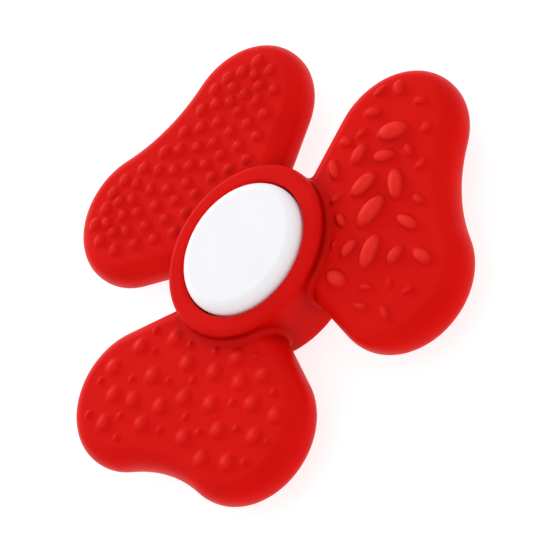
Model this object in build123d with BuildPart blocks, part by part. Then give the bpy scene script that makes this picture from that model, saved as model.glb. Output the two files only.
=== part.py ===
from build123d import *
import math
import os

# Three-lobed hand spinner: a soft rubber body with a different raised texture on each lobe,
# turning on a 608 size ball bearing that two finger caps hold from both sides.
# The spinner lies on its rear cap. The origin is the centre of that cap's outer face and +Z runs
# up the spin axis. Every piece is drawn about the middle plane of the bearing, which stands
# mid_z above the origin, and is lifted to that height when it is saved.

# ---------------------------------------------------------------- driving dimensions, mm
overall_height = 13.5
mid_z = overall_height / 2

# hub ring of the rubber body
hub_radius = 14.75
hub_half_height = 5.45
hub_edge_radius = 1.0
recess_radius = 11.45
recess_edge_radius = 0.5
hub_crease_radius = 0.8

# lobes of the rubber body
lobe_count = 3
lobe_first_angle = 90
bulge_out = 26.3
bulge_across = 12.2
bulge_radius = 12.05
waist_radius = 27.8
side_angle = math.radians(54.5)
lobe_half_thickness = 3.15
lobe_edge_radius = 3.0
lobe_root = 9.2

# raised textures: every nub is sunk a little into the face that it stands on
nub_sink = 0.3
cone_height = 0.85
cone_base_radius = 1.2
cone_tip_radius = 0.48
bump_height = 0.72
bump_base_radius = 1.6
bump_tip_radius = 0.95
seed_height = 0.48
seed_base_radius = 0.72
seed_tip_radius = 0.42

# rigid seat moulded into the hub for the bearing
carrier_radius = 12.7
carrier_half_height = 3.6
carrier_chamfer = 0.4

# 608 size ball bearing
bearing_bore_radius = 4.0
bearing_radius = 11.0
bearing_half_width = 3.5
race_chamfer = 0.3
pitch_radius = 7.5
ball_radius = 3.969 / 2
ball_count = 7
groove_radius = 2.03
inner_land_radius = 6.05
outer_land_radius = 8.85
shield_seat_radius = 9.7
shield_seat_z = 2.75

# pressed ball cage and its rivets
cage_inner_radius = 6.4
cage_outer_radius = 8.6
cage_sheet = 0.37
pocket_radius = 2.04
rivet_shank_radius = 0.35
rivet_hole_radius = 0.37
rivet_head_radius = 0.6
rivet_head_height = 0.22
rivet_head_edge = 0.08

# dust shields and the snap rings that hold them
shield_inner_radius = 6.3
shield_outer_radius = 9.68
shield_thickness = 0.3
shield_step_radius = 7.4
shield_step = 0.12
ring_section = 0.34
ring_gap = 3.2

# finger caps
cap_radius = 11.2
cap_rim_radius = 1.8
cap_underside_z = 4.15
boss_radius = 5.6
sleeve_radius = 3.96
sleeve_bore_radius = 2.5
sleeve_end_z = -3.1
sleeve_bore_end_z = 3.0
pin_radius = 2.47
pin_tip_z = 2.6
pin_chamfer = 0.4

# Centres of the cones on one half of the first lobe, as (across, out from the spin axis).
# The other half is its mirror image; a centre with across = 0 stands on the middle line.
cone_places = [
    (10.6, 32.9), (13.4, 32.7), (6.8, 31.7), (16.0, 31.3), (2.3, 30.9), (19.0, 30.5),
    (13.3, 30.3), (9.4, 30.3), (17.2, 28.7), (5.0, 28.8), (0.0, 28.7), (11.4, 28.3),
    (14.1, 27.2), (19.8, 26.9), (7.9, 26.9), (17.0, 26.1), (2.7, 26.1), (11.7, 25.3),
    (0.0, 24.3), (5.4, 24.1), (15.1, 24.0), (8.6, 23.3), (18.4, 22.9), (2.1, 21.9),
    (11.8, 21.7), (5.2, 20.9), (15.0, 20.5), (8.4, 19.5), (1.9, 18.7), (11.8, 18.1),
    (5.0, 17.2), (8.3, 15.9),
]

# Large bumps on the second lobe, as (across, out).
bump_places = [
    (-13.9, 32.5), (-8.6, 33.1), (-3.2, 30.8), (6.5, 30.6), (14.3, 32.2), (-16.8, 27.5),
    (-9.4, 28.2), (4.3, 27.2), (10.5, 27.4), (14.9, 27.4), (-19.1, 23.5), (-13.7, 22.7),
    (-5.6, 24.6), (0.3, 24.8), (8.7, 22.8), (17.6, 23.2), (-9.4, 20.1), (-3.5, 19.6),
    (2.7, 19.4), (-13.2, 17.9), (-6.6, 16.4), (7.5, 16.1), (13.9, 18.8),
]

# Small seeds between the bumps, as (across, out).
seed_places = [
    (-17.2, 31.7), (-5.8, 29.3), (2.1, 30.7), (10.3, 33.8), (11.5, 30.4), (18.2, 31.6),
    (-19.7, 27.8), (-12.8, 27.1), (-1.9, 27.6), (18.9, 25.9), (12.6, 24.2), (-9.8, 23.4),
    (0.0, 21.8), (4.9, 23.0), (-16.9, 20.1), (10.6, 19.0), (-10.4, 15.4), (-1.9, 16.4),
    (3.8, 16.5), (12.2, 15.6),
]

# Pebbles on the third lobe, as (across, out, turn of the long axis, length, width, height).
pebble_places = [
    (-15.9, 32.2, 65, 2.6, 1.4, 0.6), (-10.6, 33.2, 130, 2.3, 1.9, 0.6),
    (-4.5, 32.1, 125, 2.3, 1.6, 0.6), (-7.8, 29.9, 18, 3.2, 1.5, 0.6),
    (1.5, 31.3, 38, 3.0, 1.7, 0.6), (4.8, 29.3, 47, 5.2, 2.2, 0.9),
    (11.7, 31.8, 42, 4.6, 2.4, 0.9), (16.6, 29.2, 105, 2.2, 1.1, 0.5),
    (9.8, 27.0, 130, 3.7, 2.6, 0.9), (14.3, 25.9, 5, 1.9, 1.1, 0.4),
    (19.1, 24.9, 20, 3.2, 1.5, 0.6), (-19.7, 28.4, 10, 3.2, 2.1, 0.7),
    (-12.3, 27.1, 82, 6.0, 3.5, 1.2), (-8.4, 25.4, 78, 4.6, 2.4, 0.9),
    (-2.6, 27.4, 4, 6.2, 3.0, 1.1), (0.6, 22.8, 130, 6.4, 3.8, 1.3),
    (-4.6, 21.6, 118, 5.4, 3.3, 1.2), (7.6, 22.5, 154, 6.4, 3.5, 1.2),
    (-10.5, 20.8, 145, 4.0, 2.7, 0.9), (-17.1, 23.5, 76, 3.5, 1.8, 0.7),
    (-14.1, 21.4, 110, 2.2, 1.3, 0.5), (-20.5, 24.9, 112, 2.4, 1.3, 0.6),
    (13.5, 21.6, 66, 3.0, 1.3, 0.6), (16.5, 20.6, 60, 3.3, 1.4, 0.6),
    (5.7, 18.7, 128, 3.8, 2.5, 0.9), (0.2, 17.3, 27, 3.4, 1.7, 0.7),
    (-4.0, 16.4, 110, 2.4, 1.2, 0.5), (3.9, 15.9, 145, 1.8, 1.0, 0.4),
    (-9.4, 16.1, 12, 4.2, 2.0, 0.8), (10.2, 16.3, 45, 5.0, 2.8, 1.0),
    (-13.6, 18.4, 55, 2.8, 1.8, 0.7),
]


# ---------------------------------------------------------------- helpers
def conical_nub(base_radius, tip_radius, height):
    """A cone with a ball tip that stands on Z = 0 and is sunk below it."""
    tip_z = height - tip_radius
    slant = math.hypot(base_radius, tip_z)
    line_angle = math.atan2(tip_z, -base_radius) - math.asin(tip_radius / slant)
    run = math.sqrt(slant**2 - tip_radius**2)
    shoulder = (base_radius + run * math.cos(line_angle), run * math.sin(line_angle))
    foot = (base_radius - nub_sink / math.tan(line_angle), -nub_sink)
    start = math.degrees(math.atan2(shoulder[1] - tip_z, shoulder[0]))
    with BuildPart() as nub:
        with BuildSketch(Plane.XZ):
            with BuildLine():
                Line((0, -nub_sink), foot)
                Line(foot, shoulder)
                CenterArc((0, tip_z), tip_radius, start, 90 - start)
                Line((0, height), (0, -nub_sink))
            make_face()
        revolve(axis=Axis.Z)
    return nub.part


def pebble(length, width, height):
    """An oval pebble along X: an ellipse turned about its long axis, partly sunk below Z = 0."""
    section = ((width / 2) ** 2 / height + height) / 2
    depth = section - height
    reach = length / 2 / math.sqrt(1 - (depth / section) ** 2)
    with BuildPart() as stone:
        with BuildSketch(Plane.XY):
            Ellipse(reach, section)
            with Locations((0, -section)):
                Rectangle(4 * reach, 2 * section, mode=Mode.SUBTRACT)
        revolve(axis=Axis.X)
    return stone.part.moved(Location((0, 0, -depth)))


def on_face(side, lobe_index, across, out, turn=0):
    """The place of a nub on a lobe: side 1 is the front face, -1 its mirror image behind."""
    angle = lobe_first_angle + lobe_index * 360 / lobe_count
    sine = math.sin(math.radians(angle))
    cosine = math.cos(math.radians(angle))
    x = out * cosine + across * sine
    y = out * sine - across * cosine
    place = Location((x, y, side * lobe_half_thickness), (0, 0, angle - 90 + turn))
    if side < 0:
        place = place * Location((0, 0, 0), (180, 0, 0))
    return place


def on_crease(edge):
    """True for an edge where a lobe runs into the wall of the hub."""
    point = edge.position_at(0.4)
    at_wall = abs(math.hypot(point.X, point.Y) - hub_radius) < 0.02
    return at_wall and abs(point.Z) < lobe_half_thickness + 0.01


def save(part, node):
    """Lift one finished piece from the middle plane, label it and write its STEP file."""
    lifted = part.moved(Location((0, 0, mid_z)))
    lifted.label = node
    export_step(lifted, f"parts/{node}.step")


os.makedirs("parts", exist_ok=True)

# ---------------------------------------------------------------- rubber body
# One lobe lies along +X: two round bulges, a concave waist between them at the outer end, and
# straight sides that run in to the hub.
waist_out = bulge_out + math.sqrt((bulge_radius + waist_radius) ** 2 - bulge_across**2)
share = bulge_radius / (bulge_radius + waist_radius)
waist_x = bulge_out + (waist_out - bulge_out) * share
waist_y = bulge_across * (1 - share)
side_x = bulge_out - bulge_radius * math.sin(side_angle)
side_y = bulge_across + bulge_radius * math.cos(side_angle)
root_y = side_y - (side_x - lobe_root) * math.tan(side_angle)
bulge_top_y = bulge_across + bulge_radius

with BuildPart() as lobe:
    with BuildSketch(Plane.XY.offset(-lobe_half_thickness)):
        with BuildLine():
            Line((lobe_root, root_y), (side_x, side_y))
            ThreePointArc((side_x, side_y), (bulge_out, bulge_top_y), (waist_x, waist_y))
            ThreePointArc(
                (waist_x, waist_y), (waist_out - waist_radius, 0), (waist_x, -waist_y)
            )
            ThreePointArc((waist_x, -waist_y), (bulge_out, -bulge_top_y), (side_x, -side_y))
            Line((side_x, -side_y), (lobe_root, -root_y))
            Line((lobe_root, -root_y), (lobe_root, root_y))
        make_face()
    extrude(amount=2 * lobe_half_thickness)
    rims = lobe.edges().filter_by(Axis.Z, reverse=True)
    rims = rims.filter_by(lambda edge: edge.center().X > lobe_root + 0.1)
    fillet(rims, radius=lobe_edge_radius)

cone = conical_nub(cone_base_radius, cone_tip_radius, cone_height)
bump = conical_nub(bump_base_radius, bump_tip_radius, bump_height)
seed = conical_nub(seed_base_radius, seed_tip_radius, seed_height)
nubs = []
for side in (1, -1):
    for across, out in cone_places:
        nubs.append(cone.moved(on_face(side, 0, across, out)))
        if across > 0:
            nubs.append(cone.moved(on_face(side, 0, -across, out)))
    for across, out in bump_places:
        nubs.append(bump.moved(on_face(side, 1, across, out)))
    for across, out in seed_places:
        nubs.append(seed.moved(on_face(side, 1, across, out)))
    for across, out, turn, length, width, height in pebble_places:
        nubs.append(pebble(length, width, height).moved(on_face(side, 2, across, out, turn)))

with BuildPart() as spinner_body:
    Cylinder(hub_radius, 2 * hub_half_height)
    fillet(spinner_body.edges().filter_by(GeomType.CIRCLE), radius=hub_edge_radius)
    with PolarLocations(0, lobe_count, start_angle=lobe_first_angle):
        add(lobe.part)
    fillet(spinner_body.edges().filter_by(on_crease), radius=hub_crease_radius)
    add(nubs)
    Cylinder(recess_radius, 2 * hub_half_height, mode=Mode.SUBTRACT)
    Cylinder(carrier_radius, 2 * carrier_half_height, mode=Mode.SUBTRACT)
    recess_rims = spinner_body.edges().filter_by(GeomType.CIRCLE).sort_by(Axis.Z)
    recess_rims = recess_rims.filter_by(lambda edge: abs(edge.radius - recess_radius) < 0.01)
    fillet([recess_rims[0], recess_rims[-1]], radius=recess_edge_radius)
save(spinner_body.part, "spinner_body")

# ---------------------------------------------------------------- rigid bearing seat
with BuildPart() as bearing_carrier:
    Cylinder(carrier_radius, 2 * carrier_half_height)
    Cylinder(bearing_radius, 2 * carrier_half_height, mode=Mode.SUBTRACT)
    mouths = bearing_carrier.edges().filter_by(GeomType.CIRCLE)
    mouths = mouths.filter_by(lambda edge: abs(edge.radius - bearing_radius) < 0.01)
    chamfer(mouths, length=carrier_chamfer)
save(bearing_carrier.part, "bearing_carrier")

# ---------------------------------------------------------------- ball bearing
with BuildPart() as outer_race:
    Cylinder(bearing_radius, 2 * bearing_half_width)
    chamfer(outer_race.edges().filter_by(GeomType.CIRCLE), length=race_chamfer)
    Cylinder(outer_land_radius, 2 * bearing_half_width, mode=Mode.SUBTRACT)
    for end in (1, -1):
        with BuildSketch(Plane.XY.offset(end * shield_seat_z)):
            Circle(shield_seat_radius)
        extrude(amount=end * (bearing_half_width - shield_seat_z), mode=Mode.SUBTRACT)
    Torus(pitch_radius, groove_radius, mode=Mode.SUBTRACT)
save(outer_race.part, "outer_race")

with BuildPart() as inner_race:
    Cylinder(inner_land_radius, 2 * bearing_half_width)
    Cylinder(bearing_bore_radius, 2 * bearing_half_width, mode=Mode.SUBTRACT)
    chamfer(inner_race.edges().filter_by(GeomType.CIRCLE), length=race_chamfer)
    Torus(pitch_radius, groove_radius, mode=Mode.SUBTRACT)
save(inner_race.part, "inner_race")

with BuildPart() as ball:
    Sphere(ball_radius)
with PolarLocations(pitch_radius, ball_count) as ball_ring:
    ball_places = list(ball_ring.locations)
for index, place in enumerate(ball_places):
    save(ball.part.moved(place), f"ball_{index + 1}")

# Half of a ribbon cage: a flat ring with a dome over every ball and a rivet hole between them.
with BuildPart() as cage_half:
    with PolarLocations(pitch_radius, ball_count):
        Sphere(pocket_radius + cage_sheet)
    with BuildSketch():
        Circle(pitch_radius + pocket_radius + cage_sheet)
    extrude(amount=cage_sheet)
    with PolarLocations(pitch_radius, ball_count):
        Sphere(pocket_radius, mode=Mode.SUBTRACT)
    with PolarLocations(pitch_radius, ball_count, start_angle=180 / ball_count):
        Cylinder(rivet_hole_radius, 4 * cage_sheet, mode=Mode.SUBTRACT)
    with BuildSketch():
        Circle(cage_outer_radius)
        Circle(cage_inner_radius, mode=Mode.SUBTRACT)
    extrude(amount=pocket_radius + cage_sheet, mode=Mode.INTERSECT)
save(cage_half.part, "cage_front")
save(mirror(cage_half.part, about=Plane.XY, mode=Mode.PRIVATE), "cage_rear")

with BuildPart() as rivet:
    Cylinder(rivet_shank_radius, 2 * cage_sheet)
    for end in (1, -1):
        with BuildSketch(Plane.XY.offset(end * cage_sheet)):
            Circle(rivet_head_radius)
        extrude(amount=end * rivet_head_height)
    head_rims = rivet.edges().filter_by(GeomType.CIRCLE).sort_by(Axis.Z)
    fillet([head_rims[0], head_rims[-1]], radius=rivet_head_edge)
with BuildPart() as cage_rivets:
    with PolarLocations(pitch_radius, ball_count, start_angle=180 / ball_count):
        add(rivet.part)
save(cage_rivets.part, "cage_rivets")

# A pressed shield: a thin ring whose inner part is stepped outward.
shield_floor = shield_seat_z
shield_top = shield_floor + shield_thickness
with BuildPart() as shield:
    with BuildSketch(Plane.XZ):
        with BuildLine():
            Polyline(
                (shield_outer_radius, shield_floor),
                (shield_outer_radius, shield_top),
                (shield_step_radius + shield_step, shield_top),
                (shield_step_radius, shield_top + shield_step),
                (shield_inner_radius, shield_top + shield_step),
                (shield_inner_radius, shield_floor + shield_step),
                (shield_step_radius, shield_floor + shield_step),
                (shield_step_radius + shield_step, shield_floor),
                close=True,
            )
        make_face()
    revolve(axis=Axis.Z)
save(shield.part, "shield_front")
save(mirror(shield.part, about=Plane.XY, mode=Mode.PRIVATE), "shield_rear")

with BuildPart() as snap_ring:
    with BuildSketch(Plane.XY.offset(shield_top)):
        Circle(shield_outer_radius)
        Circle(shield_outer_radius - ring_section, mode=Mode.SUBTRACT)
        with Locations((shield_outer_radius, 0)):
            Rectangle(4 * ring_section, ring_gap, mode=Mode.SUBTRACT)
    extrude(amount=ring_section)
save(snap_ring.part, "snap_ring_front")
save(mirror(snap_ring.part, about=Plane.XY, mode=Mode.PRIVATE), "snap_ring_rear")

# ---------------------------------------------------------------- finger caps
# Each cap is a thick disc with a boss that bears on the inner race. The front cap carries a
# sleeve through the bore and the rear cap a pin that is pressed into the sleeve.
with BuildPart() as front_cap:
    with BuildSketch(Plane.XZ):
        with BuildLine():
            Polyline(
                (0, mid_z),
                (cap_radius, mid_z),
                (cap_radius, cap_underside_z),
                (boss_radius, cap_underside_z),
                (boss_radius, bearing_half_width),
                (sleeve_radius, bearing_half_width),
                (sleeve_radius, sleeve_end_z),
                (sleeve_bore_radius, sleeve_end_z),
                (sleeve_bore_radius, sleeve_bore_end_z),
                (0, sleeve_bore_end_z),
                close=True,
            )
        make_face()
    revolve(axis=Axis.Z)
    face_rim = front_cap.edges().filter_by(GeomType.CIRCLE).sort_by(Axis.Z)[-1]
    fillet(face_rim, radius=cap_rim_radius)
save(front_cap.part, "front_cap")

with BuildPart() as rear_cap:
    with BuildSketch(Plane.XZ):
        with BuildLine():
            Polyline(
                (0, -mid_z),
                (cap_radius, -mid_z),
                (cap_radius, -cap_underside_z),
                (boss_radius, -cap_underside_z),
                (boss_radius, -bearing_half_width),
                (pin_radius, -bearing_half_width),
                (pin_radius, pin_tip_z - pin_chamfer),
                (pin_radius - pin_chamfer, pin_tip_z),
                (0, pin_tip_z),
                close=True,
            )
        make_face()
    revolve(axis=Axis.Z)
    face_rim = rear_cap.edges().filter_by(GeomType.CIRCLE).sort_by(Axis.Z)[0]
    fillet(face_rim, radius=cap_rim_radius)
save(rear_cap.part, "rear_cap")
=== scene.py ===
import math

import bpy
from mathutils import Matrix, Vector


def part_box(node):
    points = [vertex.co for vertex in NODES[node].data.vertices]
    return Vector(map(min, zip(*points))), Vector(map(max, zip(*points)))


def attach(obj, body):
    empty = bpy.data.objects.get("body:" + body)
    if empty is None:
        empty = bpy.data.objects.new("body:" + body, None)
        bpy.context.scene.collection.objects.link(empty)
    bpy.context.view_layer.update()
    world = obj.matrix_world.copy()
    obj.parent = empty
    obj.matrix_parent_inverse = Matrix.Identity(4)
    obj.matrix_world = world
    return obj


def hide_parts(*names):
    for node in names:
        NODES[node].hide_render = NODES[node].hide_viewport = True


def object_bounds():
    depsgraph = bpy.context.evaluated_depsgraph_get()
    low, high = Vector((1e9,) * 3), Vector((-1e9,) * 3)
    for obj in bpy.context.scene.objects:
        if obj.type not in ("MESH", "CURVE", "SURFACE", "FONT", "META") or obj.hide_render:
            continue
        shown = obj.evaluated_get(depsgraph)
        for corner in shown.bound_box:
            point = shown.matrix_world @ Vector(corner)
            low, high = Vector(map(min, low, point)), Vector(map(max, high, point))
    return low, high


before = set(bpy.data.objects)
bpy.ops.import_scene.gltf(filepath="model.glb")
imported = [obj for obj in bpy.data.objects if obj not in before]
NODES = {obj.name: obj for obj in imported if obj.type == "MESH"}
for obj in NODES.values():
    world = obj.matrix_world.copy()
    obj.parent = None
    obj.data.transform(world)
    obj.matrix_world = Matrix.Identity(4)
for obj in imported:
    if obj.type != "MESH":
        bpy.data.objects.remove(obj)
CAD_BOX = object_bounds()
MM = 0.001

# The spinner lies on its rear cap: z = 0 is the floor and the spin axis is upright.
HUB_LOW, HUB_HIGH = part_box("outer_race")
HUB_CENTRE = (HUB_LOW + HUB_HIGH) / 2
FLOOR_Z = CAD_BOX[0].z

# Where nub crowns are painted paler and pinker, partly as wear and partly as a painted highlight:
# outside the hub ring, and more from foot to crown, as heights above the middle plane.
HUB_RADIUS = 14.75 * MM
NUB_FOOT = 3.35 * MM
NUB_CROWN = 4.05 * MM


# ---------------------------------------------------------------- node material helpers
# Places of the Mix node's colour sockets among its sockets of every type.
MIX_COLOURS_IN = (6, 7)
MIX_COLOUR_OUT = 2


class Shader:
    """A material being wired: one Principled shader and the texture nodes that feed it."""

    def __init__(self, name):
        self.material = bpy.data.materials.new(name)
        self.material.use_nodes = True
        self.tree = self.material.node_tree
        self.tree.nodes.clear()
        self.output = self.add("ShaderNodeOutputMaterial")
        self.surface = self.add("ShaderNodeBsdfPrincipled")
        self.link(self.surface.outputs["BSDF"], self.output.inputs["Surface"])
        self.place = self.add("ShaderNodeTexCoord").outputs["Object"]

    def add(self, kind, **settings):
        node = self.tree.nodes.new(kind)
        for key, value in settings.items():
            setattr(node, key, value)
        return node

    def link(self, source, target):
        self.tree.links.new(source, target)

    def constants(self, **values):
        """Plain numbers on the shader's own sockets; _ in a name stands for a space."""
        for key, value in values.items():
            self.surface.inputs[key.replace("_", " ")].default_value = value

    def noise(self, scale, detail=2.0, rough=0.5, vector=None):
        node = self.add("ShaderNodeTexNoise")
        node.inputs["Scale"].default_value = scale
        node.inputs["Detail"].default_value = detail
        node.inputs["Roughness"].default_value = rough
        self.link(vector or self.place, node.inputs["Vector"])
        return node.outputs["Fac"]

    def cells(self, scale):
        node = self.add("ShaderNodeTexVoronoi")
        node.inputs["Scale"].default_value = scale
        self.link(self.place, node.inputs["Vector"])
        return node.outputs["Distance"]

    def spread(self, value, low, high, to_low=0.0, to_high=1.0):
        node = self.add("ShaderNodeMapRange")
        node.inputs["From Min"].default_value = low
        node.inputs["From Max"].default_value = high
        node.inputs["To Min"].default_value = to_low
        node.inputs["To Max"].default_value = to_high
        self.link(value, node.inputs["Value"])
        return node.outputs["Result"]

    def mix(self, factor, first, second):
        node = self.add("ShaderNodeMix", data_type="RGBA")
        self.link(factor, node.inputs["Factor"])
        for index, colour in zip(MIX_COLOURS_IN, (first, second)):
            socket = node.inputs[index]
            if isinstance(colour, tuple):
                socket.default_value = (*colour, 1.0)
            else:
                self.link(colour, socket)
        return node.outputs[MIX_COLOUR_OUT]

    def bump(self, height, distance, strength=1.0, below=None):
        node = self.add("ShaderNodeBump")
        node.inputs["Strength"].default_value = strength
        node.inputs["Distance"].default_value = distance
        self.link(height, node.inputs["Height"])
        if below is not None:
            self.link(below, node.inputs["Normal"])
        return node.outputs["Normal"]

    def maths(self, operation, first, second):
        node = self.add("ShaderNodeMath", operation=operation)
        self.link(first, node.inputs[0])
        self.link(second, node.inputs[1])
        return node.outputs["Value"]

    def plus(self, first, second):
        return self.maths("ADD", first, second)

    def times(self, first, second):
        return self.maths("MULTIPLY", first, second)

    def split(self):
        """The separate coordinates of a point."""
        node = self.add("ShaderNodeSeparateXYZ")
        self.link(self.place, node.inputs["Vector"])
        return node

    def radius(self, split):
        """The distance of a point from the spin axis, from its separated coordinates."""
        flat = self.add("ShaderNodeCombineXYZ")
        self.link(split.outputs["X"], flat.inputs["X"])
        self.link(split.outputs["Y"], flat.inputs["Y"])
        length = self.add("ShaderNodeVectorMath", operation="LENGTH")
        self.link(flat.outputs["Vector"], length.inputs[0])
        return length.outputs["Value"]

    def painted_crevice_shade(self, reach, open_share, closed_share):
        """A mask for painted shade: 1 deep in a crease or pocket, 0 on open faces, from how much of
        the sky a point sees.
        """
        node = self.add("ShaderNodeAmbientOcclusion", samples=8, only_local=True)
        node.inputs["Distance"].default_value = reach
        return self.spread(node.outputs["AO"], open_share, closed_share)

    def turned(self, along, around):
        """A coordinate whose noise runs in rings about the spin axis, as a lathe leaves it."""
        split = self.split()
        angle = self.add("ShaderNodeMath", operation="ARCTAN2")
        self.link(split.outputs["Y"], angle.inputs[0])
        self.link(split.outputs["X"], angle.inputs[1])
        rings = self.add("ShaderNodeCombineXYZ")
        for source, factor, target in (
            (self.radius(split), along, "X"),
            (split.outputs["Z"], along, "Y"),
            (angle.outputs["Value"], around, "Z"),
        ):
            scaled = self.add("ShaderNodeMath", operation="MULTIPLY")
            self.link(source, scaled.inputs[0])
            scaled.inputs[1].default_value = factor
            self.link(scaled.outputs["Value"], rings.inputs[target])
        return rings.outputs["Vector"]

    def finish(self, colour, roughness, normal):
        self.link(colour, self.surface.inputs["Base Color"])
        self.link(roughness, self.surface.inputs["Roughness"])
        self.link(normal, self.surface.inputs["Normal"])
        return self.material


def silicone(name, light, deep, worn_and_highlit_tone):
    """Matt moulded silicone rubber: mottled, with a powdery grain, the nub crowns painted paler as
    wear and painted highlight, and painted shade in creases and pockets.
    """
    s = Shader(name)
    cloud = s.spread(s.noise(90, 3.0), 0.3, 0.7)
    speck = s.spread(s.noise(2600, 2.0), 0.35, 0.75)
    colour = s.mix(cloud, deep, light)
    colour = s.mix(s.spread(speck, 0, 1, 0.0, 0.22), colour, tuple(c * 0.8 for c in deep))
    split = s.split()
    middle = HUB_CENTRE.z
    above = s.spread(split.outputs["Z"], middle + NUB_FOOT, middle + NUB_CROWN)
    below = s.spread(split.outputs["Z"], middle - NUB_FOOT, middle - NUB_CROWN)
    outside = s.spread(s.radius(split), HUB_RADIUS, HUB_RADIUS + 1 * MM)
    worn_and_highlit_crowns = s.times(s.plus(above, below), outside)
    patchy = s.spread(s.noise(900, 3.0), 0.3, 0.6, 0.75, 1.0)
    # Painted highlight, partly wear: nub crowns mixed towards a paler, pinker red.
    colour = s.mix(s.times(worn_and_highlit_crowns, patchy), colour, worn_and_highlit_tone)
    # Painted shade: creases, pockets and nub feet mixed towards a dark red.
    colour = s.mix(s.painted_crevice_shade(7 * MM, 0.82, 0.42), colour, tuple(c * 0.22 for c in deep))
    rough = s.spread(s.noise(340, 3.0), 0.3, 0.7, 0.36, 0.44)
    grain = s.bump(s.noise(5200, 3.0, 0.6), 0.012 * MM, 0.55)
    drift = s.bump(s.noise(420, 2.0), 0.03 * MM, 0.35, grain)
    s.constants(Specular_IOR_Level=0.06)
    return s.finish(colour, rough, drift)


def moulded_plastic(name, light, deep, rough_low, rough_high, grain_scale):
    """Injection-moulded plastic with a faint cloudiness and a fine mould texture."""
    s = Shader(name)
    cloud = s.spread(s.noise(70, 3.0), 0.3, 0.7)
    speck = s.spread(s.cells(grain_scale * 0.7), 0.0, 0.8)
    colour = s.mix(cloud, deep, light)
    colour = s.mix(s.spread(speck, 0, 1, 0.0, 0.08), colour, deep)
    rough = s.spread(s.noise(500, 4.0, 0.65), 0.3, 0.7, rough_low, rough_high)
    grain = s.bump(s.noise(grain_scale, 2.0), 0.008 * MM, 0.5)
    s.constants(Specular_IOR_Level=0.5)
    return s.finish(colour, rough, grain)


def turned_steel(name, light, deep, rough_low, rough_high):
    """Ground bearing steel: fine rings of tool marks about the spin axis."""
    s = Shader(name)
    rings = s.turned(9000, 1.2)
    marks = s.noise(1.0, 3.0, 0.6, rings)
    stain = s.spread(s.noise(260, 4.0, 0.6), 0.35, 0.75)
    colour = s.mix(s.spread(marks, 0.3, 0.7), deep, light)
    colour = s.mix(s.spread(stain, 0, 1, 0.0, 0.35), colour, deep)
    rough = s.spread(marks, 0.3, 0.7, rough_low, rough_high)
    groove = s.bump(marks, 0.004 * MM, 0.6)
    s.constants(Metallic=1.0)
    return s.finish(colour, rough, groove)


def pressed_steel(name, light, deep, rough_low, rough_high, pit_scale):
    """Pressed or tumbled steel: cloudy oil tone, small pits and fine scuffs."""
    s = Shader(name)
    cloud = s.spread(s.noise(520, 4.0, 0.6), 0.3, 0.7)
    pits = s.spread(s.cells(pit_scale), 0.0, 0.35)
    colour = s.mix(cloud, deep, light)
    colour = s.mix(s.spread(pits, 0, 1, 0.3, 0.0), colour, tuple(c * 0.55 for c in deep))
    rough = s.spread(s.noise(1500, 4.0, 0.7), 0.3, 0.7, rough_low, rough_high)
    dent = s.bump(pits, 0.004 * MM, 0.5)
    s.constants(Metallic=1.0)
    return s.finish(colour, rough, dent)


# The third colour is the nub crowns' painted highlight, partly wear.
RED = silicone(
    "red_silicone", (0.71, 0.0030, 0.0010), (0.66, 0.0020, 0.0006), (0.81, 0.026, 0.018)
)
WHITE = moulded_plastic(
    "white_abs", (0.95, 0.94, 0.97), (0.92, 0.91, 0.945), 0.34, 0.46, 2400
)
NYLON = moulded_plastic(
    "carrier_nylon", (0.055, 0.056, 0.060), (0.030, 0.031, 0.034), 0.5, 0.68, 1800
)
RACE = turned_steel("race_steel", (0.66, 0.67, 0.69), (0.46, 0.47, 0.49), 0.14, 0.3)
SHIELD = turned_steel("shield_steel", (0.60, 0.61, 0.62), (0.42, 0.43, 0.45), 0.26, 0.44)
BALL = pressed_steel(
    "ball_steel", (0.78, 0.79, 0.81), (0.66, 0.67, 0.70), 0.05, 0.13, 5200
)
CAGE = pressed_steel(
    "cage_steel", (0.52, 0.50, 0.47), (0.36, 0.35, 0.33), 0.3, 0.46, 3800
)

FINISHES = {
    "front_cap": WHITE,
    "rear_cap": WHITE,
    "bearing_carrier": NYLON,
    "inner_race": RACE,
    "outer_race": RACE,
    "shield_front": SHIELD,
    "shield_rear": SHIELD,
    "snap_ring_front": SHIELD,
    "snap_ring_rear": SHIELD,
    "cage_front": CAGE,
    "cage_rear": CAGE,
    "cage_rivets": CAGE,
}
for number in range(1, 8):
    FINISHES[f"ball_{number}"] = BALL
for node, finish in FINISHES.items():
    slots = NODES[node].material_slots
    for index in range(len(slots)):
        slots[index].material = finish


# ---------------------------------------------------------------- rubber skin
def modified(piece, **modifiers):
    """Apply modifiers, given as kind=settings, one after the other."""
    for kind, settings in modifiers.items():
        modifier = piece.modifiers.new(kind, kind)
        for key, value in settings.items():
            setattr(modifier, key, value)
    evaluated = piece.evaluated_get(bpy.context.evaluated_depsgraph_get())
    mesh = bpy.data.meshes.new_from_object(evaluated)
    piece.modifiers.clear()
    piece.data = mesh


def rubber_skin(node, name):
    """The rubber body as one continuous skin, its nubs and creases blended as moulding leaves them."""
    mesh = NODES[node].data.copy()
    mesh.materials.clear()
    skin = bpy.data.objects.new(name, mesh)
    bpy.context.scene.collection.objects.link(skin)
    bpy.context.view_layer.update()
    modified(skin, WELD={"merge_threshold": 0.001 * MM})
    voxel = 0.18 * MM
    modified(skin, REMESH={"mode": "VOXEL", "voxel_size": voxel, "use_smooth_shade": True})
    modified(skin, SMOOTH={"factor": 0.5, "iterations": 4})
    skin.data.materials.clear()
    skin.data.materials.append(RED)
    for polygon in skin.data.polygons:
        polygon.use_smooth = True
    return skin


spinner_skin = rubber_skin("spinner_body", "spinner_skin")
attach(spinner_skin, "rotor")
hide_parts("spinner_body")


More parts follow.
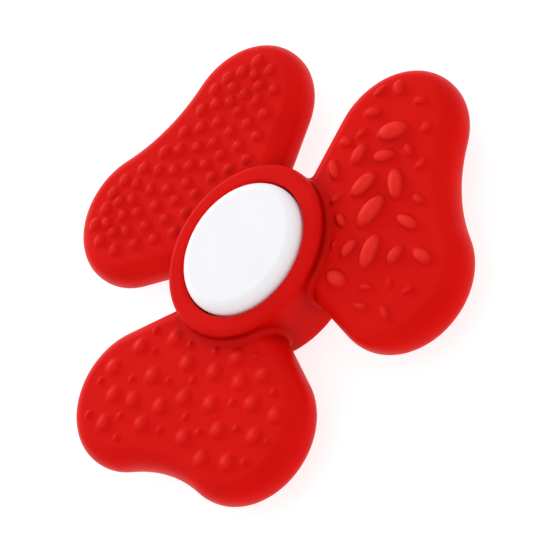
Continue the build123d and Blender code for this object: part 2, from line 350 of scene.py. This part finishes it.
# ---------------------------------------------------------------- floor, light and camera
def plain_floor(half_side):
    mesh = bpy.data.meshes.new("floor")
    corners = [(-half_side, -half_side), (half_side, -half_side)]
    corners += [(half_side, half_side), (-half_side, half_side)]
    mesh.from_pydata([(x, y, FLOOR_Z) for x, y in corners], [], [(0, 1, 2, 3)])
    floor = bpy.data.objects.new("floor", mesh)
    bpy.context.scene.collection.objects.link(floor)
    s = Shader("floor_paper")
    colour = s.mix(s.spread(s.noise(14, 3.0), 0.3, 0.7), (0.34, 0.34, 0.34), (0.36, 0.36, 0.36))
    rough = s.spread(s.noise(60, 3.0), 0.3, 0.7, 0.8, 0.9)
    s.constants(Specular_IOR_Level=0.1, Emission_Color=(1, 1, 1, 1), Emission_Strength=0.80)
    mesh.materials.append(s.finish(colour, rough, s.bump(s.noise(900, 3.0), 0.02 * MM, 0.3)))


def soft_light(name, towards, distance, width, height, strength, in_reflections=True):
    """A rectangular lamp aimed at the hub; strength is the brightness it gives white paper."""
    lamp = bpy.data.lights.new(name, "AREA")
    lamp.shape = "RECTANGLE"
    lamp.size = width
    lamp.size_y = height
    lamp.energy = strength * math.pi**2 * distance**2
    light = bpy.data.objects.new(name, lamp)
    direction = Vector(towards).normalized()
    light.location = HUB_CENTRE + direction * distance
    light.rotation_euler = direction.to_track_quat("Z", "Y").to_euler()
    light.visible_glossy = in_reflections
    bpy.context.scene.collection.objects.link(light)


plain_floor(4.0)
# One low softbox from the far side, in two lamps: most of its light leaves no reflection.
RAKING = (-0.28, 0.95, 0.16)
SOFTBOX = {"distance": 0.8, "width": 0.40, "height": 0.22}
soft_light("key", RAKING, **SOFTBOX, strength=0.60, in_reflections=False)
soft_light("strip", RAKING, **SOFTBOX, strength=0.13)

world = bpy.data.worlds.new("studio")
world.use_nodes = True
world.node_tree.nodes["Background"].inputs["Color"].default_value = (1, 1, 1, 1)
world.node_tree.nodes["Background"].inputs["Strength"].default_value = 0.94
world.cycles_visibility.glossy = False
bpy.context.scene.world = world
bpy.context.scene.view_settings.view_transform = "Standard"

# The camera stands above the floor and is rolled, so that the spin axis leans left in the picture.
CAMERA_AZIMUTH = math.radians(14.733)
CAMERA_ELEVATION = math.radians(43.575)
CAMERA_ROLL = math.radians(54.960)
CAMERA_DISTANCE = 0.4805
SENSOR_WIDTH = 36.0
LENS = 201.3

towards_viewer = Vector(
    (
        math.sin(CAMERA_AZIMUTH) * math.cos(CAMERA_ELEVATION),
        -math.cos(CAMERA_AZIMUTH) * math.cos(CAMERA_ELEVATION),
        math.sin(CAMERA_ELEVATION),
    )
)
level = Vector((math.cos(CAMERA_AZIMUTH), math.sin(CAMERA_AZIMUTH), 0))
upright = towards_viewer.cross(level)
right = level * math.cos(CAMERA_ROLL) - upright * math.sin(CAMERA_ROLL)
up = upright * math.cos(CAMERA_ROLL) + level * math.sin(CAMERA_ROLL)
camera_data = bpy.data.cameras.new("camera")
camera_data.sensor_width = SENSOR_WIDTH
camera_data.lens = LENS
camera_data.shift_x = 0.02354
camera_data.shift_y = -0.02328
camera_data.clip_start = 0.01
camera_data.clip_end = 20.0
camera = bpy.data.objects.new("camera", camera_data)
bpy.context.scene.collection.objects.link(camera)
turn = Matrix((right, up, towards_viewer)).transposed().to_4x4()
camera.matrix_world = Matrix.Translation(HUB_CENTRE + towards_viewer * CAMERA_DISTANCE) @ turn
bpy.context.scene.camera = camera
